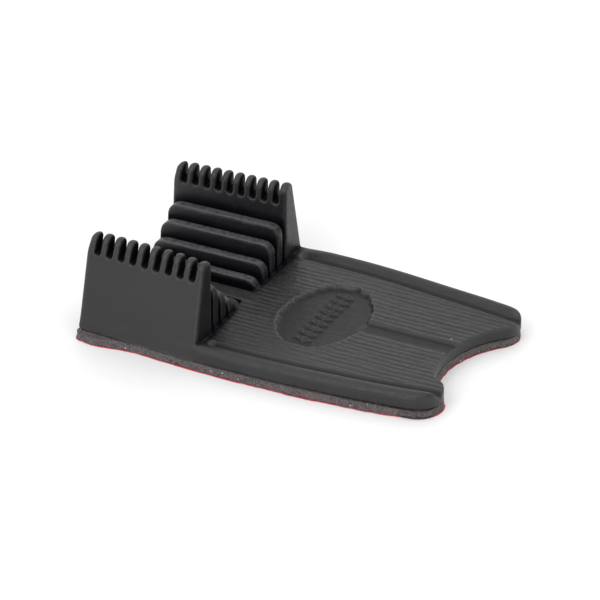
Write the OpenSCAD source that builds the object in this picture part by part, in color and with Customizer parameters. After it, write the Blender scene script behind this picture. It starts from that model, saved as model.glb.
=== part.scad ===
// Snowboard stomp pad: a moulded rubber grip pad on a double-sided foam tape with a release liner.
// +X runs along the pad towards its notched nose, +Y across it, +Z up from the surface it rests on.
// The origin is the centre of the footprint. All sizes are in millimetres.

/* [Overall] */
// Length of the pad, from the tape's rear edge to its longer horn
pad_length = 100; // [92:1:110]
// Width of the rubber at the front of the walls, where it is widest
pad_width = 60.2; // [57:0.2:64]
// Height from the liner's underside to the tips of the teeth
pad_height = 27.4; // [25:0.2:31]

/* [Tape] */
// Thickness of the release liner
liner_t = 0.2; // [0.1:0.05:0.3]
// Thickness of each adhesive film
film_t = 0.1; // [0.05:0.05:0.2]
// Thickness of the foam
foam_t = 1.9; // [1.5:0.05:2.5]
// How far the tape stands out past the rubber at the sides and the nose
tape_side = 0.4; // [0:0.1:0.8]
// How far the tape stands out past the rubber at the rear
tape_rear = 1.2; // [0.4:0.1:1.6]
// How far the adhesive films stop short of the foam's edge
film_inset = 0.5; // [0:0.1:0.8]

/* [Deck] */
// Thickness of the deck at its rim
deck_t = 3.7; // [3.3:0.1:4.6]
// Radius of the long bow of each side, from the walls to the horns
side_r = 470; // [420:10:800]
// Radius of the horns either side of the nose notch
horn_r = 6.2; // [5:0.1:7]
// How much further forward the horn on the +Y side reaches
horn_lead = 2.4; // [0:0.1:3]
// Distance from the longer horn's tip back to the deepest point of the notch
notch_depth = 9.5; // [7:0.1:10.5]
// How far the notch's centre lies off the centre line, towards -Y
notch_offset = 3.3; // [2:0.1:3.6]
// Radius of the rear corners in plan
rear_corner_r = 1.6; // [0.8:0.1:3]

/* [Walls] */
// Length of the walls and fins at the deck
wall_length = 32.4; // [30:0.2:35]
// Clear distance between the two walls
wall_gap = 40.4; // [38:0.2:41]
// Thickness of a wall under its teeth
wall_top_t = 5.5; // [4.5:0.1:6.5]
// Height of the rounded crest of the teeth
crest_h = 2.2; // [1.6:0.1:4]
// Turn of each wall about the vertical, so that the pair opens towards the nose, in degrees
wall_toe = 2.1; // [0:0.1:2.4]
// How far the rear ends of the walls lean forward towards their tops
rear_lean = 0.8; // [0:0.1:2]
// How far the front ends of the walls lean back towards their tops
front_lean = 0.2; // [0:0.1:1]
// Number of teeth on each wall
teeth = 10; // [8:1:11]
// Height of the teeth
tooth_h = 5.6; // [4:0.1:7]
// Share of the tooth pitch that a gap takes
gap_share = 0.5; // [0.35:0.05:0.6]

/* [Fins] */
// Number of fins beside each wall
fins = 4; // [2:1:4]
// Distance from one fin to the next
fin_pitch = 4.05; // [3.6:0.05:4.2]
// Width of the slot between two fins
fin_slot = 1.4; // [1:0.1:1.8]
// Height of the outermost fin above the liner's underside
fin_top = 17.6; // [16.5:0.1:19]
// Drop from one fin to the next one inwards
fin_step = 3.2; // [2.4:0.1:3.3]
// Radius of the upper rear corner of a fin
fin_corner_r = 3; // [1:0.1:3]

/* [Tread] */
// Depth of the side channels, the middle channel and the floor between the fins, below the rim
channel_d = 1.1; // [0.8:0.1:1.6]
// Width of each side channel
channel_w = 2.9; // [2:0.1:3.4]
// Distance from the deck's edge to the side channel
channel_inset = 3.5; // [3:0.1:4]
// Distance from the wall to the start of the side channel
channel_start = 2.4; // [1.5:0.1:5]
// Width of the middle channel
middle_w = 4.4; // [3:0.1:5]
// Distance from one rib to the next
rib_pitch = 1.8; // [1.6:0.05:2.2]
// Depth of the grooves between ribs
groove_d = 0.3; // [0.2:0.05:0.5]
// Height of the rim above the ribs
rim_step = 0.25; // [0:0.05:0.4]
// Length of the oval recess across the pad
oval_w = 31.2; // [28:0.2:34]
// Width of the oval recess along the pad
oval_l = 21.6; // [18:0.2:24]
// Distance from the walls to the middle of the oval recess
oval_x = 21.5; // [18:0.1:24]
// Number of raised lozenge studs in the oval recess
studs = 9; // [3:2:9]

/* [Hidden] */

root = 1;   // how far one feature reaches into the one that carries it
over = 2;   // how far a cut reaches past the surface it opens

// Levels, from the liner's underside upwards
lower_film_z = liner_t;
foam_z = lower_film_z + film_t;
upper_film_z = foam_z + foam_t;
rubber_z = upper_film_z + film_t;
rim_z = rubber_z + deck_t;
crest_z = rim_z - rim_step;
floor_z = rim_z - channel_d;
shoulder_z = pad_height - tooth_h;

// Plan
half_w = pad_width / 2;
tape_rear_x = -pad_length / 2;
rear_x = tape_rear_x + tape_rear;
front_x = rear_x + wall_length;
nose_x = pad_length / 2 - tape_side;
bow_c = [front_x, half_w - side_r];
long_horn_x = nose_x - horn_r;
short_horn_x = long_horn_x - horn_lead;
// The notch's arc runs smoothly into the longer horn
notch_reach = notch_offset + horn_centre(long_horn_x, 1)[1];
notch_r = (pow(notch_reach, 2) + pow(horn_r - notch_depth, 2) - pow(horn_r, 2)) / (2 * notch_depth);
notch_cx = nose_x - notch_depth + notch_r;
oval_cx = front_x + oval_x;

// Walls and fins
wall_in_y = wall_gap / 2;
wall_out_y = wall_in_y + wall_top_t;
wall_foot_z = floor_z - root;   // the walls and fins start inside the deck
side_lean = (half_w - wall_out_y) / (shoulder_z - rubber_z);
arch_z = pad_height - crest_h;   // where the crest's round springs from the wall's faces
arch_out_y = wall_out_y - side_lean * (arch_z - shoulder_z);
arch_y = (wall_in_y + arch_out_y) / 2;
front_tip_x = front_x - front_lean;
tooth_pitch = (wall_length - rear_lean - front_lean) / (teeth - gap_share);
gap_w = tooth_pitch * gap_share;
fin_t = fin_pitch - fin_slot;
fin_end_r = 1.2;
plateau_w = 2 * (wall_in_y - fin_slot - fins * fin_pitch);

// Tread
tread_inset = channel_inset + channel_w;
rib_count = ceil(half_w / rib_pitch);
stud_pitch = 2.9;
stud_w = 2.5;
stud_l = 5.4;
stud_h = 0.5;

rubber_colour = [0.17, 0.17, 0.18];
foam_colour = [0.45, 0.42, 0.41];
film_colour = [0.75, 0.74, 0.7];
liner_colour = [0.72, 0.1, 0.13];

// Half the deck's width at x: bowed ahead of the walls and straight beside them
function side_y(x) = x > front_x ? bow_c[1] + sqrt(pow(side_r, 2) - pow(x - bow_c[0], 2))
    : half_w - (front_x - x) * tan(wall_toe);

// Points along an arc from angle a0 to angle a1
function arc(c, r, a0, a1, steps) =
    [for (i = [0:steps]) c + r * [cos(a0 + (a1 - a0) * i / steps), sin(a0 + (a1 - a0) * i / steps)]];

// Direction from point p to point q, in degrees
function heading(p, q) = atan2(q[1] - p[1], q[0] - p[0]);

// Centre at x of a horn's round, which touches the bow from inside
function horn_centre(x, side) = [x, side * (bow_c[1] + sqrt(pow(side_r - horn_r, 2) - pow(x - bow_c[0], 2)))];

// Direction in which that round touches the bow
function touch(centre) = heading([bow_c[0], sign(centre[1]) * bow_c[1]], centre);

// The plan outline, grown by edge at the sides and the nose and by back at the rear
function outline(edge, back) =
    let (far = horn_centre(long_horn_x, 1),
         near = horn_centre(short_horn_x, -1),
         corner_x = rear_x + rear_corner_r,
         corner_y = side_y(corner_x) - rear_corner_r / cos(wall_toe),
         corner_cx = corner_x - back + edge,
         notch = [notch_cx, -notch_offset],
         corner = rear_corner_r + edge,
         horn = horn_r + edge,
         bay = notch_r - edge,
         // Where the notch meets the shorter horn
         span = norm(notch - near),
         swing = acos((span * span + horn * horn - bay * bay) / (2 * span * horn)),
         turn = acos((span * span + bay * bay - horn * horn) / (2 * span * bay)))
    concat(
        arc([corner_cx, -corner_y], corner, -180, -90 - wall_toe, 6),
        arc([bow_c[0], -bow_c[1]], side_r + edge, -90, touch(near), 12),
        arc(near, horn, touch(near), heading(near, notch) + swing, 14),
        arc(notch, bay, heading(notch, near) + 360 - turn, heading(notch, far), 18),
        arc(far, horn, heading(far, notch), touch(far), 14),
        arc(bow_c, side_r + edge, touch(far), 90, 12),
        arc([corner_cx, corner_y], corner, 90 + wall_toe, 180, 6));

// A sheet of the outline's shape, from z up
module layer(z, thickness, edge, back) {
    translate([0, 0, z])
        linear_extrude(height = thickness)
            polygon(outline(edge, back));
}

// An outline drawn in Y and Z, swept along X from x
module along_x(x, length, points) {
    translate([x, 0, 0])
        rotate([90, 0, 90])
            linear_extrude(height = length)
                polygon(points);
}

// An outline drawn in X and Z, swept along Y from y
module along_y(y, width, points) {
    translate([0, y + width, 0])
        rotate([90, 0, 0])
            linear_extrude(height = width)
                polygon(points);
}

// A wall's cross-section: an outer face that leans in from the tape, an upright inner face and a round crown
function wall_section() = concat(
    [[wall_in_y, wall_foot_z], [half_w - side_lean * (wall_foot_z - rubber_z), wall_foot_z]],
    [for (a = [0:15:180]) [arch_y + (arch_out_y - arch_y) * cos(a), arch_z + crest_h * sin(a)]]);

// A wall seen from the side: leaning ends, and a comb of teeth with round-bottomed gaps
function comb() =
    let (top = pad_height + over, r = gap_w / 2, rise = (top - wall_foot_z) / (pad_height - wall_foot_z))
    concat(
        [[front_x, wall_foot_z], [front_x - front_lean * rise, top]],
        [for (i = [1:teeth - 1], p = [
            let (c = front_tip_x - i * tooth_pitch + r)
            for (q = concat([[c + r, top]], arc([c, shoulder_z + r], r, 0, -180, 8), [[c - r, top]])) q]) p],
        [[rear_x + rear_lean * rise, top], [rear_x, wall_foot_z]]);

// Turns a piece about the vertical at the front of the walls, so that the pair opens towards the nose
module toed(y, angle) {
    translate([front_x, y, 0])
        rotate([0, 0, angle])
            translate([-front_x, -y, 0])
                children();
}

module wall() {
    toed(half_w, wall_toe)
        intersection() {
            along_x(rear_x - over, wall_length + 2 * over, wall_section());
            along_y(wall_in_y - over, half_w - wall_in_y + 2 * over, comb());
        }
}

// Beside a wall, the deck's side is one face with the wall's own
module wall_side_cut() {
    top = rim_z + over;
    toed(half_w, wall_toe)
        along_x(rear_x - over, wall_length + over, [
            [half_w + side_lean * root, rubber_z - root], [half_w + over, rubber_z - root],
            [half_w + over, top], [half_w - side_lean * (top - rubber_z), top]]);
}

// A fin seen from the side: a plate with rounded upper corners
function fin_side(top) =
    let (r = min(fin_corner_r, top - floor_z), lean = rear_lean * (top - wall_foot_z) / (pad_height - wall_foot_z))
    concat(
        [[rear_x, wall_foot_z], [front_x, wall_foot_z]],
        arc([front_x - fin_end_r, top - fin_end_r], fin_end_r, 0, 90, 6),
        arc([rear_x + lean + r, top - r], r, 90, 180, 6));

module fin(index) {
    outer_y = wall_in_y - fin_slot - index * fin_pitch;
    toed(outer_y, wall_toe * outer_y / wall_in_y)
        along_y(outer_y - fin_t, fin_t, fin_side(fin_top - index * fin_step));
}

// The low strip along the middle of the valley between the fins
module plateau() {
    along_y(-plateau_w / 2, plateau_w, fin_side(rim_z));
}

// The floor of the valley between the walls, from which the fins stand
module valley_cut() {
    translate([rear_x - over, -wall_in_y, floor_z])
        cube([wall_length + over, wall_gap, channel_d + over]);
}

// An arc that keeps its distance from the bowed side, from x to past the nose
function inset_arc(inset, x) =
    let (r = side_r - inset)
    arc(bow_c, r, acos((x - bow_c[0]) / r), acos((pad_length - bow_c[0]) / r), 24);

// A channel just inside the rim, round at the wall and open at the nose
module side_channel_cut() {
    start_x = front_x + channel_start + channel_w / 2;
    inner = inset_arc(tread_inset, start_x);
    translate([0, 0, floor_z])
        linear_extrude(height = channel_d + over)
            polygon(concat(inset_arc(channel_inset, start_x), [for (i = [len(inner) - 1:-1:0]) inner[i]]));
    translate([start_x, side_y(start_x) - channel_inset - channel_w / 2, floor_z])
        cylinder(r = channel_w / 2, h = channel_d + over, $fn = 32);
}

// Everything above z between the two side channels
module tread(z) {
    edge = inset_arc(tread_inset, front_x);
    translate([0, 0, z])
        linear_extrude(height = pad_height)
            polygon(concat(edge, [for (i = [len(edge) - 1:-1:0]) [edge[i][0], -edge[i][1]]]));
}

module grooves_cut() {
    intersection() {
        tread(crest_z - groove_d);
        for (i = [-rib_count:rib_count])
            translate([front_x - over, i * rib_pitch - rib_pitch / 4, 0])
                cube([pad_length, rib_pitch / 2, pad_height]);
    }
}

module middle_channel_cut() {
    translate([oval_cx, -middle_w / 2, floor_z])
        cube([pad_length, middle_w, channel_d + over]);
}

module oval_cut() {
    translate([oval_cx, 0, floor_z])
        linear_extrude(height = pad_height)
            polygon([for (a = [0:10:350]) [oval_l / 2 * cos(a), oval_w / 2 * sin(a)]]);
}

// A row of raised lozenges across the oval recess
module oval_studs() {
    last = (studs - 1) / 2;
    for (i = [-last:last])
        translate([oval_cx, i * stud_pitch, floor_z - root])
            linear_extrude(height = root + stud_h)
                polygon([[stud_l / 2, 0], [0, stud_w / 2], [-stud_l / 2, 0], [0, -stud_w / 2]]);
}

module rubber_pad() color(rubber_colour) {
    difference() {
        layer(rubber_z, deck_t, 0, 0);
        valley_cut();
        tread(crest_z);
        grooves_cut();
        middle_channel_cut();
        oval_cut();
        for (side = [0, 1])
            mirror([0, side, 0]) {
                side_channel_cut();
                wall_side_cut();
            }
    }
    oval_studs();
    plateau();
    for (side = [0, 1])
        mirror([0, side, 0]) {
            wall();
            for (index = [0:fins - 1])
                fin(index);
        }
}

module film(z) color(film_colour) layer(z, film_t, tape_side - film_inset, tape_rear - film_inset);

module upper_adhesive() film(upper_film_z);

module foam_core() color(foam_colour) layer(foam_z, foam_t, tape_side, tape_rear);

module lower_adhesive() film(lower_film_z);

module release_liner() color(liner_colour) layer(0, liner_t, tape_side, tape_rear);

rubber_pad();
upper_adhesive();
foam_core();
lower_adhesive();
release_liner();
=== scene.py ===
import math

import bpy
import numpy as np
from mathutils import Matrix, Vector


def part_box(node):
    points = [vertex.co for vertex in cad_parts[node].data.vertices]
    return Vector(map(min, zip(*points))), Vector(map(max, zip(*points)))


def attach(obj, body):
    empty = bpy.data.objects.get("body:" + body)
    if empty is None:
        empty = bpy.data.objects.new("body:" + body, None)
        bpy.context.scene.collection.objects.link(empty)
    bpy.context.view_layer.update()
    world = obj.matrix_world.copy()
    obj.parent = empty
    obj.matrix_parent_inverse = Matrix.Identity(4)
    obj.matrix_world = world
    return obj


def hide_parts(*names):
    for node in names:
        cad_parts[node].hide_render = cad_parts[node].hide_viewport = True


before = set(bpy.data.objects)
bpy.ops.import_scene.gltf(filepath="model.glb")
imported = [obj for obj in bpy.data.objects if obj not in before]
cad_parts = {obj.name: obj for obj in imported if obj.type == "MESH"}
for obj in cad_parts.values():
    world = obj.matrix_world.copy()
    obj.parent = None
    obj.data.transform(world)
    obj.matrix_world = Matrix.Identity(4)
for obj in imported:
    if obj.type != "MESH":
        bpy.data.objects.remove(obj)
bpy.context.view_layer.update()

import openvdb
from mathutils import Matrix, Vector

# Lengths are in millimetres until a mesh is made.
MM = 0.001
(RUB_X0, RUB_Y0, RUB_Z0), (RUB_X1, RUB_Y1, RUB_Z1) = (np.array(p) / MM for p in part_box("rubber_pad"))
(TAPE_X0, TAPE_Y0, TAPE_Z0), (TAPE_X1, TAPE_Y1, TAPE_Z1) = (np.array(p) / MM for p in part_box("foam_core"))

# Plan
HALF_W = RUB_Y1
WALL_L = 32.4
FRONT_X = RUB_X0 + WALL_L
TOE = math.radians(2.1)
BOW_R = 470.0
BOW_C = (FRONT_X, HALF_W - BOW_R)
HORN_R, HORN_LEAD = 6.2, 2.4
NOTCH_DEPTH, NOTCH_OFF = 9.5, 3.3
CORNER_R = 1.6

# Levels
RIM_Z = RUB_Z0 + 3.7
FLOOR_Z = RIM_Z - 1.1
CREST_Z = RIM_Z - 0.25
TOP_Z = RUB_Z1

# Walls and fins
WALL_IN = 20.2
WALL_OUT = 25.7
SHOULDER_Z = 21.0
CREST_H = 2.2
TEETH = 10
REAR_LEAN, FRONT_LEAN = 0.8, 0.2
# Distance from the walls' front to the first gap, and the pitch of the gaps, on the two sides
COMBS = {-1: (2.75, 3.41), 1: (3.10, 3.24)}
GAP_R = 0.52
GAP_Z = TOP_Z - 5.6
FIN_PITCH, FIN_T = 4.05, 2.65
# Tops of the fins from the outermost inwards, on the two sides
FIN_TOPS = {-1: (17.1, 13.3, 9.7, 6.9), 1: (17.6, 14.3, 10.8, 8.0)}
FIN_SLOT = FIN_PITCH - FIN_T
PLATEAU = WALL_IN - FIN_SLOT - 4 * FIN_PITCH

# Tread
CHANNEL_START, CHANNEL_MID, CHANNEL_HALF = 3.85, 4.95, 2.0
TREAD_IN = 6.4
RIB = 1.8
OVAL_X, OVAL_A, OVAL_B = FRONT_X + 21.5, 10.8, 15.6
STUDS, STUD_PITCH = 9, 2.9
MIDDLE_W = 4.4

# Spacing of the distance field, and the distance at which it is cut off
VOXEL = 0.22
FAR = 3.0


def smin(a, b, k):
    h = np.maximum(k - np.abs(a - b), 0) / k
    return np.minimum(a, b) - h * h * k * 0.25


def smax(a, b, k):
    return -smin(-a, -b, k)


def step(x, a, b):
    """0 before a, 1 after b, smooth between."""
    t = np.clip((x - a) / (b - a), 0, 1)
    return t * t * (3 - 2 * t)


def arc(c, r, a0, a1, steps):
    a = np.linspace(a0, a1, steps + 1)
    return np.stack([c[0] + r * np.cos(a), c[1] + r * np.sin(a)], 1)


def heading(p, q):
    return math.atan2(q[1] - p[1], q[0] - p[0])


def outline(x0, x1, edge, steps=14):
    """The plan outline as points, from the rear edge x0 to the longer horn's tip x1 - edge."""
    long_x = x1 - edge - HORN_R
    short_x = long_x - HORN_LEAD

    def centre(x, side):
        return np.array([x, side * (BOW_C[1] + math.sqrt((BOW_R - HORN_R) ** 2 - (x - BOW_C[0]) ** 2))])

    far, near = centre(long_x, 1), centre(short_x, -1)
    reach = NOTCH_OFF + far[1]
    notch_r = (reach ** 2 + (HORN_R - NOTCH_DEPTH) ** 2 - HORN_R ** 2) / (2 * NOTCH_DEPTH)
    notch = np.array([x1 - edge - NOTCH_DEPTH + notch_r, -NOTCH_OFF])
    horn, bay = HORN_R + edge, notch_r - edge
    span = np.linalg.norm(notch - near)
    swing = math.acos((span ** 2 + horn ** 2 - bay ** 2) / (2 * span * horn))
    turn = math.acos((span ** 2 + bay ** 2 - horn ** 2) / (2 * span * bay))
    cx = x0 + CORNER_R + edge
    cy = HALF_W - (FRONT_X - cx) * math.tan(TOE) - CORNER_R / math.cos(TOE)
    low = (BOW_C[0], -BOW_C[1])
    t_near, t_far = heading(low, near), heading(BOW_C, far)
    start = heading(notch, near) % (2 * math.pi) - turn
    return np.concatenate([
        arc((cx, -cy), CORNER_R + edge, -math.pi, -math.pi / 2 - TOE, steps),
        arc(low, BOW_R + edge, -math.pi / 2, t_near, steps),
        arc(near, horn, t_near, heading(near, notch) + swing, steps),
        arc(notch, bay, start, heading(notch, far) % (2 * math.pi), 2 * steps),
        arc(far, horn, heading(far, notch), t_far, steps),
        arc(BOW_C, BOW_R + edge, t_far, math.pi / 2, steps),
        arc((cx, cy), CORNER_R + edge, math.pi / 2 + TOE, math.pi, steps)])


def drift(x, y):
    """How far the moulding stands across from its drawn shape: a swept nose and swollen sides."""
    sweep = 0.3 * step(x, FRONT_X, 5) + 0.4 * step(x, 25, 50)
    swell = 0.35 * np.exp(-((x - 8) / 14) ** 2) - 0.2 * step(x, 36, 48)
    return sweep + swell * np.clip(y / 20, -1, 1)


def polygon_distance(x, y, points):
    """Signed distance to a closed polygon, negative inside."""
    best = np.full(np.broadcast(x, y).shape, 1e9, np.float32)
    inside = np.zeros(best.shape, bool)
    for (ax, ay), (bx, by) in zip(points, np.roll(points, -1, 0)):
        ex, ey = bx - ax, by - ay
        length = ex * ex + ey * ey
        if length < 1e-12:
            continue
        wx, wy = x - ax, y - ay
        t = np.clip((wx * ex + wy * ey) / length, 0, 1)
        best = np.minimum(best, (wx - ex * t) ** 2 + (wy - ey * t) ** 2)
        inside ^= ((ay > y) != (by > y)) & (wx < ex * wy / (ey if ey else 1e-12))
    return np.where(inside, -1, 1) * np.sqrt(best)


def noise2(x, y, seed, scale_x, scale_y):
    """Smooth value noise from -1 to 1, with features about scale_x by scale_y."""
    rng = np.random.default_rng(seed)
    table = rng.uniform(-1, 1, (256, 256)).astype(np.float32)
    u, v = x / scale_x + 1000, y / scale_y + 1000
    i, j = np.floor(u).astype(int), np.floor(v).astype(int)
    fu, fv = step(u - i, 0, 1), step(v - j, 0, 1)

    def at(a, b):
        return table[a % 256, b % 256]

    return ((at(i, j) * (1 - fu) + at(i + 1, j) * fu) * (1 - fv)
            + (at(i, j + 1) * (1 - fu) + at(i + 1, j + 1) * fu) * fv)


class Field:
    """A box of signed distances, negative inside, that shapes are added to and cut from."""

    def __init__(self, low, high):
        self.low = np.array(low, float)
        shape = np.ceil((np.array(high) - low) / VOXEL).astype(int) + 1
        self.d = np.full(shape, FAR, np.float32)

    def part(self, low, high):
        i = np.maximum(np.floor((np.array(low) - self.low) / VOXEL).astype(int), 0)
        j = np.minimum(np.ceil((np.array(high) - self.low) / VOXEL).astype(int) + 1, self.d.shape)
        axes = [(self.low[k] + np.arange(i[k], j[k]) * VOXEL).astype(np.float32) for k in range(3)]
        x, y, z = axes[0][:, None, None], axes[1][None, :, None], axes[2][None, None, :]
        return tuple(slice(a, b) for a, b in zip(i, j)), x, y, z

    def add(self, low, high, shape, k):
        where, x, y, z = self.part(low, high)
        self.d[where] = smin(self.d[where], shape(x, y, z), k)

    def gradient(self, points):
        """The outward direction at points, in millimetres."""
        grads = np.zeros(points.shape, np.float32)
        for axis in range(3):
            off = np.zeros(3)
            off[axis] = VOXEL * 0.75
            grads[:, axis] = self.sample(points + off) - self.sample(points - off)
        return grads / np.maximum(np.linalg.norm(grads, axis=1, keepdims=True), 1e-9)

    def curvature(self, points):
        """How sharply the surface turns at points, from -1 in a corner to 1 on an edge."""
        h = 0.45
        total = -6 * self.sample(points)
        for axis in range(3):
            off = np.zeros(3)
            off[axis] = h
            total = total + self.sample(points + off) + self.sample(points - off)
        return total / h

    def shade(self, points, normals):
        """How far the walls round about close points in, from 0 in the open to 1 deep in a slot."""
        total = 0
        for reach in (0.8, 1.6, 2.8):
            total = total + np.clip(1 - self.sample(points + normals * reach) / reach, 0, 1)
        return total / 3

    def sample(self, points):
        p = (points - self.low) / VOXEL
        i = np.clip(np.floor(p).astype(int), 0, np.array(self.d.shape) - 2)
        f = p - i
        total = 0
        for dx in (0, 1):
            for dy in (0, 1):
                for dz in (0, 1):
                    w = (f[:, 0] if dx else 1 - f[:, 0]) * (f[:, 1] if dy else 1 - f[:, 1])
                    w = w * (f[:, 2] if dz else 1 - f[:, 2])
                    total = total + w * self.d[i[:, 0] + dx, i[:, 1] + dy, i[:, 2] + dz]
        return total


def side_depth(x, y):
    """How far inside the bowed sides a point of the plan lies."""
    return BOW_R - np.hypot(x - BOW_C[0], np.abs(y) - BOW_C[1])


def deck_top(x, y):
    """Height of the deck's upper surface over the plan."""
    t = side_depth(x, y)
    ahead = step(x, FRONT_X - 2, FRONT_X - 1)
    # ribbed tread, a little below the rims
    tread = step(t, TREAD_IN - 0.3, TREAD_IN + 0.5) * ahead
    worn = 0.55 + 0.45 * noise2(x, y, 3, 14, 2.2)
    wave = 0.5 + 0.5 * np.cos(2 * np.pi * (y / RIB + 0.5 + 0.10 * noise2(x, y, 12, 11, 3)))
    ribs = (0.17 * wave ** 2.0) * (0.35 + 0.65 * worn)
    grain = 0.045 * noise2(x, y, 5, 3.2, 0.55) + 0.03 * noise2(x, y, 6, 0.8, 0.6)
    rise = np.maximum(step(x, FRONT_X - 2, FRONT_X + 10), step(x, FRONT_X - 3, FRONT_X) * (y < 0))
    bead = 0.65 * step(t, 0, 1.6) * (1 - step(t, 2.2, 4.2)) * rise
    h = RIM_Z + bead - tread * (0.25 + ribs + grain)
    # side channels
    start = FRONT_X + CHANNEL_START
    across = t - CHANNEL_MID
    q = np.where(x > start, np.abs(across), np.hypot(across, x - start))
    h = h - 1.0 * step(1 - q / CHANNEL_HALF, 0, 1)
    # middle channel, from the oval to the notch
    middle = step(MIDDLE_W / 2 - np.abs(y), -0.55, 0.5) * step(x, OVAL_X, OVAL_X + 1)
    h = h * (1 - middle) + np.minimum(h, FLOOR_Z + 0.15) * middle
    # oval recess
    e = np.hypot((x - OVAL_X) / OVAL_A, y / OVAL_B)
    rim = (e - 1) * 12 + 0.35 * noise2(x, y, 9, 1.6, 1.6) + 0.25 * noise2(x, y, 10, 0.8, 0.8)
    inside = step(-rim, -0.45, 0.45)
    lip = 0.10 * np.exp(-((rim - 0.9) / 0.8) ** 2)
    h = h * (1 - inside) + FLOOR_Z * inside + lip * (1 - inside)
    # raised lozenges, each split by a slit
    row = np.abs(y) < STUDS / 2 * STUD_PITCH
    along = np.abs(x - OVAL_X)
    off = np.abs(y - STUD_PITCH * np.round(y / STUD_PITCH))
    loz = 1 - along / 2.9 - off / 1.32
    slit = np.exp(-((along * 0.47 + off - 0.62) / 0.20) ** 2)
    h = h + row * (0.60 * step(loz, 0.0, 0.22) - 0.34 * slit * step(loz, 0.1, 0.4))
    # floor between the fins and the low strip along its middle
    valley = step(WALL_IN + 0.3 - np.abs(y), 0, 0.3) * (1 - step(x, FRONT_X - 1.2, FRONT_X - 0.1))
    h = h * (1 - valley) + FLOOR_Z * valley
    strip = step(PLATEAU - np.abs(y), -0.5, 0.5) * (1 - step(x, FRONT_X - 1, FRONT_X + 6))
    return np.maximum(h, h * (1 - strip) + RIM_Z * strip)


def build_rubber():
    f = Field((RUB_X0 - 1, RUB_Y0 - 1, RUB_Z0 - 1), (RUB_X1 + 1, RUB_Y1 + 1, RUB_Z1 + 1))

    # deck
    where, x, y, z = f.part((RUB_X0 - 1, RUB_Y0 - 1, RUB_Z0 - 1), (RUB_X1 + 1, RUB_Y1 + 1, RIM_Z + 1.6))
    moved = y - drift(x, y)
    plan = polygon_distance(x[..., 0], moved[..., 0], outline(RUB_X0, RUB_X1, 0))
    top = deck_top(x[..., 0], moved[..., 0])
    lean = math.atan((HALF_W - WALL_OUT) / (SHOULDER_Z - RUB_Z0))
    crest_z = TOP_Z - CREST_H
    beside = (1 - step(x, FRONT_X - 1.5, FRONT_X + 5)) * step(np.abs(y), 18, 24)
    sides = plan[..., None] + beside * math.tan(lean) * (z - RUB_Z0)
    depth = side_depth(x[..., 0], moved[..., 0])
    roll = 0.6 + 1.2 * step(-depth, -7.5, -4.5) * step(x[..., 0], FRONT_X - 1, FRONT_X + 4)
    deck = smax(sides, z - top[..., None], roll[..., None])
    f.d[where] = smax(deck, RUB_Z0 - z, 0.35)

    for side in (-1, 1):
        # wall
        def wall(x, y, z):
            yy = side * y + (FRONT_X - x) * math.tan(TOE)
            inner = WALL_IN + 0.25 * (z - FLOOR_Z) / 20
            outer = WALL_OUT + np.maximum(SHOULDER_Z - z, SHOULDER_Z - crest_z) * math.tan(lean)
            outer = outer + 0.25 * step(RUB_Z0 + 5 - z, 0, 5) ** 2
            mid, half = (inner + outer) / 2, (outer - inner) / 2
            rise = np.maximum(z - crest_z, 0)
            tip = CREST_H - 0.5 * (FRONT_X - x) / WALL_L
            tip = tip - 0.35 * (1 - side) * step(x, FRONT_X - 11, FRONT_X)
            k0 = np.hypot((yy - mid) / half, rise / tip)
            k1 = np.hypot((yy - mid) / half ** 2, rise / tip ** 2)
            section = k0 * (k0 - 1) / np.maximum(k1, 1e-6) * math.cos(lean)
            up = (z - RUB_Z0) / (TOP_Z - RUB_Z0)
            rear = RUB_X0 - 0.9 + 0.3 * side + (0.5 + 0.3 * side) * up
            rear = rear + 1.1 * step(z, SHOULDER_Z, TOP_Z + 1) - x
            front = x - (FRONT_X + 0.4 - 0.15 * side - FRONT_LEAN * up)
            body = smax(smax(section, rear, 2.2), front, 0.9)
            body = smax(body, RUB_Z0 - z, 0.35)
            first, pitch = COMBS[side]
            for n in range(TEETH - 1):
                c = FRONT_X - first - n * pitch
                half_gap = GAP_R + 0.48 * np.minimum(((yy - mid) / half) ** 2, 1.2)
                down = np.minimum(z - (GAP_Z + 0.9), 0)
                ahead = x - c - 0.09 * np.maximum(z - GAP_Z, 0)
                rounding = 0.45 + 0.6 * step(z, TOP_Z - 3, TOP_Z - 0.8)
                body = smax(body, half_gap - np.hypot(ahead, down), rounding)
            return body

        lo, hi = sorted((side * (WALL_IN - 4), side * (HALF_W + 1)))
        f.add((RUB_X0 - 1, lo, RUB_Z0 - 1), (FRONT_X + 2, hi, TOP_Z + 1), wall, 0.35)

        # fins
        for n in range(4):
            edge = WALL_IN - FIN_SLOT - n * FIN_PITCH
            toe = math.tan(TOE * edge / WALL_IN)
            crown = FIN_TOPS[side][n]

            def fin(x, y, z):
                yy = side * y + (FRONT_X - x) * toe
                up = (z - RUB_Z0) / (TOP_Z - RUB_Z0)
                rear = (RUB_X0 + 0.65 + REAR_LEAN * up) - x
                front = x - (FRONT_X + 0.1)
                plate = smax(smax(z - crown, front, 3.2), rear, 3.6)
                return smax(plate, np.abs(yy - edge + FIN_T / 2) - FIN_T / 2, 0.45)

            lo, hi = sorted((side * (edge - FIN_T - 2.5), side * (edge + 1)))
            f.add((RUB_X0 - 1, lo, FLOOR_Z - 1), (FRONT_X + 1, hi, crown + 1), fin, 0.3)
    return f


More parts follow.
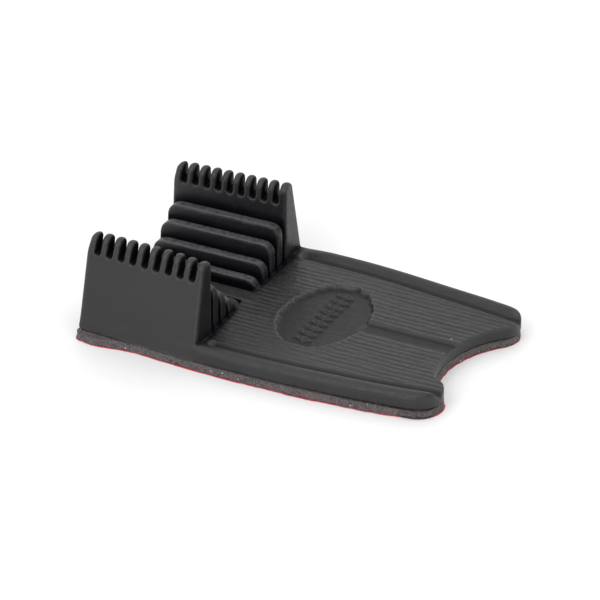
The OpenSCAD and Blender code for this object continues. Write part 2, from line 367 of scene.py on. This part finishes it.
def mesh_field(f, name, adaptivity):
    """The field's surface as a mesh whose faces look outwards, and the outward direction at each vertex."""
    grid = openvdb.FloatGrid(FAR)
    grid.copyFromArray(np.clip(f.d, -FAR, FAR))
    points, tris, quads = grid.convertToPolygons(0.0, adaptivity)
    points = points * VOXEL + f.low
    normals = f.gradient(points)
    a, b, c = (points[quads[:, n]] for n in range(3))
    outwards = np.einsum("ij,ij->i", np.cross(b - a, c - a), normals[quads[:, 0]]) > 0
    if outwards.mean() < 0.5:
        tris, quads = tris[:, ::-1], quads[:, ::-1]
    mesh = bpy.data.meshes.new(name)
    mesh.from_pydata(points * MM, [], tris.tolist() + quads.tolist())
    mesh.polygons.foreach_set("use_smooth", np.ones(len(mesh.polygons), bool))
    mesh.update()
    return mesh, normals


def add_object(mesh, name):
    o = bpy.data.objects.new(name, mesh)
    bpy.context.scene.collection.objects.link(o)
    return o


def add_value(mesh, name, values):
    mesh.attributes.new(name, "FLOAT", "POINT").data.foreach_set("value", values)


def spread(mesh, values, times):
    """Evens out a value over each vertex and its neighbours."""
    ends = np.empty(len(mesh.edges) * 2, np.int32)
    mesh.edges.foreach_get("vertices", ends)
    a, b = ends.reshape(-1, 2).T
    count = np.bincount(ends, minlength=len(values))
    for _ in range(times):
        beside = np.bincount(a, values[b], len(values)) + np.bincount(b, values[a], len(values))
        values = (values + beside / np.maximum(count, 1)) / 2
    return values


def make_rubber():
    field = build_rubber()
    mesh, normals = mesh_field(field, "rubber_moulding", adaptivity=0.02)
    mesh.normals_split_custom_set_from_vertices(normals.tolist())
    co = np.empty(len(mesh.vertices) * 3, np.float32)
    mesh.vertices.foreach_get("co", co)
    points = co.reshape(-1, 3) / MM
    x, y, z = points.T
    # Painted shade: the slots and crevices found by the field, and the low up-facing floors (oval floor,
    # channels), get a shade value that darkens their colour and cuts their gloss
    low = 1 - step(z, FLOOR_Z + 0.2, CREST_Z)
    sunk = step(side_depth(x, y), 1.5, 3) * low * step(normals[:, 2], 0.4, 0.8)
    shade = spread(mesh, field.shade(points, normals), 10)
    add_value(mesh, "edge", np.clip(field.curvature(points), 0, 1))
    add_value(mesh, "shade", np.maximum(shade, 0.30 * sunk))
    mesh.materials.append(rubber_material())
    rubber = add_object(mesh, "rubber_moulding")
    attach(rubber, "pad")
    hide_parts("rubber_pad")


class Nodes:
    """A short way to write a material's node tree."""

    def __init__(self, name):
        self.material = bpy.data.materials.new(name)
        self.material.use_nodes = True
        self.tree = self.material.node_tree
        self.shader = self.tree.nodes["Principled BSDF"]
        self.place = self.add("ShaderNodeTexCoord").outputs["Object"]

    def add(self, kind, **settings):
        node = self.tree.nodes.new(kind)
        for key, value in settings.items():
            setattr(node, key, value)
        return node

    def set(self, socket, value):
        if hasattr(value, "links"):
            self.tree.links.new(value, socket)
        else:
            socket.default_value = value

    def math(self, operation, a, b=0.0):
        node = self.add("ShaderNodeMath", operation=operation)
        self.set(node.inputs[0], a)
        self.set(node.inputs[1], b)
        return node.outputs[0]

    def ramp(self, value, low, high, to_low=0.0, to_high=1.0):
        node = self.add("ShaderNodeMapRange", interpolation_type="SMOOTHSTEP")
        for socket, v in zip(node.inputs, (value, low, high, to_low, to_high)):
            self.set(socket, v)
        return node.outputs[0]

    def stretched(self, x, y, z):
        node = self.add("ShaderNodeMapping")
        self.set(node.inputs["Vector"], self.place)
        node.inputs["Scale"].default_value = (x, y, z)
        return node.outputs[0]

    def noise(self, scale, detail=3.0, vector=None, roughness=0.55):
        node = self.add("ShaderNodeTexNoise")
        self.set(node.inputs["Vector"], self.place if vector is None else vector)
        node.inputs["Scale"].default_value = scale
        node.inputs["Detail"].default_value = detail
        node.inputs["Roughness"].default_value = roughness
        return node.outputs[0]

    def mix(self, factor, a, b):
        node = self.add("ShaderNodeMix", data_type="RGBA")
        self.set(node.inputs[0], factor)
        for socket, value in ((node.inputs[6], a), (node.inputs[7], b)):
            self.set(socket, value if hasattr(value, "links") else (*value, 1.0))
        return node.outputs[2]

    def attribute(self, name):
        return self.add("ShaderNodeAttribute", attribute_name=name).outputs["Fac"]

    def bump(self, height, distance, normal=None):
        node = self.add("ShaderNodeBump")
        node.inputs["Strength"].default_value = 1.0
        node.inputs["Distance"].default_value = distance
        self.set(node.inputs["Height"], height)
        if normal is not None:
            self.set(node.inputs["Normal"], normal)
        return node.outputs[0]


def specks(n, scale, share, radius):
    """1 on sparse round specks of dust, 0 elsewhere. radius is in metres."""
    cells = n.add("ShaderNodeTexVoronoi")
    n.set(cells.inputs["Vector"], n.place)
    cells.inputs["Scale"].default_value = scale
    colour = n.add("ShaderNodeSeparateColor")
    n.set(colour.inputs[0], cells.outputs["Color"])
    chosen = n.math("LESS_THAN", colour.outputs[0], share)
    near = n.ramp(cells.outputs["Distance"], radius * scale * 0.5, radius * scale, 1.0, 0.0)
    return n.math("MULTIPLY", chosen, near)


def rubber_material():
    n = Nodes("rubber")
    edge, shade = n.attribute("edge"), n.attribute("shade")
    grain = n.noise(2600, 2.0)
    fine = n.noise(900, 4.0, roughness=0.65)
    cloud = n.noise(55, 4.0)
    streak = n.noise(1.0, 3.0, n.stretched(130, 1500, 1500), 0.6)
    axes = n.add("ShaderNodeSeparateXYZ")
    n.set(axes.inputs[0], n.place)
    on_tread = n.math("MULTIPLY",
                      n.ramp(axes.outputs["X"], (FRONT_X - 1) * MM, (FRONT_X + 3) * MM),
                      n.ramp(axes.outputs["Z"], (RUB_Z0 + 1.5) * MM, (FLOOR_Z + 0.3) * MM))
    colour = n.mix(n.ramp(cloud, 0.35, 0.65), (0.0068, 0.0066, 0.0082), (0.0095, 0.0093, 0.0112))
    colour = n.mix(n.math("MULTIPLY", n.ramp(streak, 0.42, 0.68), n.math("MULTIPLY", on_tread, 0.5)),
                   colour, (0.020, 0.020, 0.021))
    colour = n.mix(n.math("MULTIPLY", n.ramp(fine, 0.5, 0.72), 0.35), colour, (0.018, 0.018, 0.019))
    worn = n.math("MULTIPLY", n.ramp(edge, 0.10, 0.75), n.ramp(fine, 0.25, 0.65, 0.35, 1.0))
    colour = n.mix(n.math("MULTIPLY", worn, 0.55), colour, (0.050, 0.050, 0.052))
    # Painted shade: colour darkened toward blue-black in slots, crevices and low floors, by the shade
    # attribute
    colour = n.mix(n.math("MULTIPLY", n.ramp(shade, 0.25, 0.6), 0.8), colour, (0.0035, 0.0035, 0.005))
    across = n.math("ABSOLUTE", axes.outputs["Y"])
    facing = n.add("ShaderNodeSeparateXYZ")
    n.set(facing.inputs[0], n.add("ShaderNodeNewGeometry").outputs["Normal"])
    # Painted highlight: up-facing fin tops between the walls are made lighter, broken up by fine noise
    fin_top_highlight = n.math("MULTIPLY", n.ramp(facing.outputs["Z"], 0.6, 0.95),
                     n.math("MULTIPLY", n.ramp(axes.outputs["Z"], (RIM_Z + 1) * MM, (RIM_Z + 2) * MM),
                            n.ramp(across, (WALL_IN - 1) * MM, WALL_IN * MM, 1.0, 0.0)))
    fin_top_highlight = n.math("MULTIPLY", fin_top_highlight, n.ramp(fine, 0.35, 0.6, 0.35, 1.0))
    colour = n.mix(n.math("MULTIPLY", fin_top_highlight, 0.85), colour, (0.082, 0.080, 0.088))
    dust = specks(n, 210, 0.05, 0.00024)
    colour = n.mix(n.math("MULTIPLY", dust, 0.85), colour, (0.6, 0.6, 0.58))
    n.set(n.shader.inputs["Base Color"], colour)
    n.set(n.shader.inputs["Roughness"], n.ramp(fine, 0.3, 0.7, 0.36, 0.50))
    n.shader.inputs["IOR"].default_value = 1.5
    # Painted shade mask: forward-facing faces above the rim, short of the far wall's inner face
    front_face_shade = n.math("MULTIPLY", n.ramp(facing.outputs["X"], 0.3, 0.8),
                  n.math("MULTIPLY", n.ramp(axes.outputs["Y"], (WALL_IN - 1) * MM, WALL_IN * MM, 1.0, 0.0),
                         n.ramp(axes.outputs["Z"], (RIM_Z - 0.5) * MM, (RIM_Z + 0.5) * MM)))
    # Painted shade: gloss is lowered in crevices and on the forward faces between the walls, darkening them
    # as shade would
    level = n.math("MULTIPLY", n.ramp(front_face_shade, 0.0, 1.0, 1.0, 0.4), n.ramp(shade, 0.06, 0.55, 0.5, 0.03))
    n.set(n.shader.inputs["Specular IOR Level"], level)
    relief = n.bump(grain, 0.00004)
    relief = n.bump(fine, 0.00007, relief)
    relief = n.bump(n.math("MULTIPLY", streak, on_tread), 0.0001, relief)
    n.set(n.shader.inputs["Normal"], relief)
    return n.material


def foam_material():
    n = Nodes("foam")
    cells = n.noise(2300, 3.0, roughness=0.7)
    patches = n.noise(420, 3.0)
    colour = n.mix(n.ramp(cells, 0.34, 0.66), (0.038, 0.033, 0.034), (0.145, 0.126, 0.128))
    colour = n.mix(n.math("MULTIPLY", n.ramp(patches, 0.45, 0.72), 0.45), colour, (0.175, 0.115, 0.115))
    colour = n.mix(n.math("MULTIPLY", specks(n, 900, 0.10, 0.00026), 0.8), colour, (0.55, 0.53, 0.52))
    n.set(n.shader.inputs["Base Color"], colour)
    n.shader.inputs["Roughness"].default_value = 0.92
    relief = n.bump(cells, 0.00022)
    n.set(n.shader.inputs["Normal"], n.bump(patches, 0.0003, relief))
    return n.material


def film_material():
    n = Nodes("adhesive")
    mottle = n.noise(600, 4.0)
    colour = n.mix(n.ramp(mottle, 0.35, 0.68), (0.035, 0.032, 0.030), (0.075, 0.068, 0.062))
    n.set(n.shader.inputs["Base Color"], colour)
    n.set(n.shader.inputs["Roughness"], n.ramp(mottle, 0.3, 0.7, 0.25, 0.5))
    n.set(n.shader.inputs["Normal"], n.bump(mottle, 0.00008))
    return n.material


def liner_material():
    n = Nodes("liner")
    mottle = n.noise(160, 4.0)
    fine = n.noise(1500, 3.0)
    colour = n.mix(n.ramp(mottle, 0.35, 0.65), (0.50, 0.045, 0.065), (0.62, 0.075, 0.095))
    colour = n.mix(n.math("MULTIPLY", n.ramp(fine, 0.55, 0.75), 0.3), colour, (0.75, 0.30, 0.30))
    n.set(n.shader.inputs["Base Color"], colour)
    n.set(n.shader.inputs["Roughness"], n.ramp(fine, 0.3, 0.7, 0.28, 0.42))
    n.set(n.shader.inputs["Normal"], n.bump(mottle, 0.0001, n.bump(fine, 0.00002)))
    return n.material


def resample(points, spacing):
    """Points spaced evenly round a closed outline, and how far round each one is."""
    ring = np.concatenate([points, points[:1]])
    length = np.concatenate([[0], np.cumsum(np.linalg.norm(np.diff(ring, axis=0), axis=1))])
    s = np.linspace(0, length[-1], int(length[-1] / spacing), endpoint=False)
    return np.stack([np.interp(s, length, ring[:, k]) for k in (0, 1)], 1), s


def outward(points):
    along = np.roll(points, -3, 0) - np.roll(points, 3, 0)
    normal = np.stack([along[:, 1], -along[:, 0]], 1)
    return normal / np.linalg.norm(normal, axis=1, keepdims=True)


def tape_edge():
    """The hand-cut edge of the tape: the plan outline, uneven and drawn to a point at one corner."""
    points, s = resample(outline(TAPE_X0, TAPE_X1, 0.4), 0.3)
    wander = 0.16 * noise2(s, 0 * s, 21, 9, 1) + 0.12 * noise2(s, 0 * s, 22, 1.7, 1)

    def near(x, y, reach):
        return np.exp(-((points[:, 0] - x) ** 2 + (points[:, 1] - y) ** 2) / reach ** 2)

    nose = step(points[:, 0], TAPE_X1 - 16, TAPE_X1 - 9)
    beside_walls = 1 - step(points[:, 0], FRONT_X, FRONT_X + 8)
    wander = wander + 0.15 - 0.35 * beside_walls - 0.5 * nose
    corner = near(TAPE_X0, -HALF_W + 1.4, 3.0)[:, None] * np.array([0.5, -0.9])
    flare = 2.0 * np.exp(-((points[:, 0] - TAPE_X0 - 6.5) / 5.5) ** 2)
    flare = flare * step(-points[:, 1], HALF_W - 3, HALF_W - 1.5)
    points = points + outward(points) * (wander + flare)[:, None] + corner
    points[:, 1] += drift(points[:, 0], points[:, 1])
    return points, s


def slab(name, rings, heights, material):
    """A closed slab through rings of points, one ring for each height."""
    count = len(rings[0])
    verts = [(x * MM, y * MM, z * MM) for ring, z in zip(rings, heights) for x, y in ring]
    faces = [tuple(range(count))[::-1], tuple(range(count * (len(rings) - 1), count * len(rings)))]
    for k in range(len(rings) - 1):
        for i in range(count):
            j = (i + 1) % count
            faces.append((k * count + i, k * count + j, (k + 1) * count + j, (k + 1) * count + i))
    mesh = bpy.data.meshes.new(name)
    mesh.from_pydata(verts, [], faces)
    for p in mesh.polygons[2:]:
        p.use_smooth = True
    mesh.materials.append(material)
    return add_object(mesh, name)


def make_tape():
    edge, s = tape_edge()
    out = outward(edge)
    heights = np.linspace(TAPE_Z0 - 0.02, TAPE_Z1 + 0.02, 9)
    rings = []
    for k, z in enumerate(heights):
        rough = 0.16 * noise2(s, z + 0 * s, 31, 0.8, 0.5) + 0.10 * noise2(s, z + 0 * s, 32, 0.4, 0.3)
        slope = 0.22 * (1 - k / 8) ** 2
        rings.append(edge + out * (rough + slope - 0.12)[:, None])
    foam = slab("foam_tape", rings, heights, foam_material())
    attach(foam, "pad")
    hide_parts("foam_core")

    (_, _, low), (_, _, high) = (np.array(p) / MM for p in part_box("release_liner"))
    wave = 0.20 + 0.10 * noise2(s, 0 * s, 41, 5, 1)
    ring = edge + out * wave[:, None]
    film = slab("liner_film", [ring, ring], [low, high], liner_material())
    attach(film, "liner")
    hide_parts("release_liner")

    adhesive = film_material()
    for name in ("upper_adhesive", "lower_adhesive"):
        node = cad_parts[name]
        node.data.materials.clear()
        node.data.materials.append(adhesive)


# Camera
AZIMUTH, ELEVATION, ROLL = 26.8, 29.72, 0.53
DISTANCE = 1.194
LENS = 284.8
TARGET = Vector((-1.9, 0.35, 8.44)) * MM


def make_camera():
    a, e, r = (math.radians(v) for v in (AZIMUTH, ELEVATION, ROLL))
    back = Vector((math.sin(a) * math.cos(e), -math.cos(a) * math.cos(e), math.sin(e)))
    right = Vector((math.cos(a), math.sin(a), 0))
    up = back.cross(right)
    x = right * math.cos(r) + up * math.sin(r)
    y = up * math.cos(r) - right * math.sin(r)
    data = bpy.data.cameras.new("camera")
    data.lens = LENS
    data.sensor_width = 36
    data.clip_start, data.clip_end = 0.05, 20
    camera = bpy.data.objects.new("camera", data)
    turn = Matrix((x, y, back)).transposed().to_4x4()
    camera.matrix_world = Matrix.Translation(TARGET + back * DISTANCE) @ turn
    bpy.context.scene.collection.objects.link(camera)
    bpy.context.scene.camera = camera


def make_stage():
    mesh = bpy.data.meshes.new("floor")
    s = 3.0
    mesh.from_pydata([(-s, -s, 0), (s, -s, 0), (s, s, 0), (-s, s, 0)], [], [(0, 1, 2, 3)])
    floor = add_object(mesh, "floor")
    m = bpy.data.materials.new("floor")
    m.use_nodes = True
    m.node_tree.nodes["Principled BSDF"].inputs["Base Color"].default_value = (0.95, 0.95, 0.95, 1)
    mesh.materials.append(m)


def area_light(name, place, size, energy):
    data = bpy.data.lights.new(name, "AREA")
    data.size = size
    data.energy = energy
    o = add_object(data, name)
    o.location = place
    o.rotation_euler = (-o.location).to_track_quat("-Z", "Y").to_euler()


def make_lights():
    world = bpy.data.worlds.new("world")
    world.use_nodes = True
    world.node_tree.nodes["Background"].inputs[0].default_value = (1, 1, 1, 1)
    world.node_tree.nodes["Background"].inputs[1].default_value = 1.08
    bpy.context.scene.world = world
    bpy.context.scene.view_settings.view_transform = "Standard"
    area_light("key", (-0.15, -0.85, 0.60), 0.6, 2.5)


make_rubber()
make_tape()
make_camera()
make_stage()
make_lights()
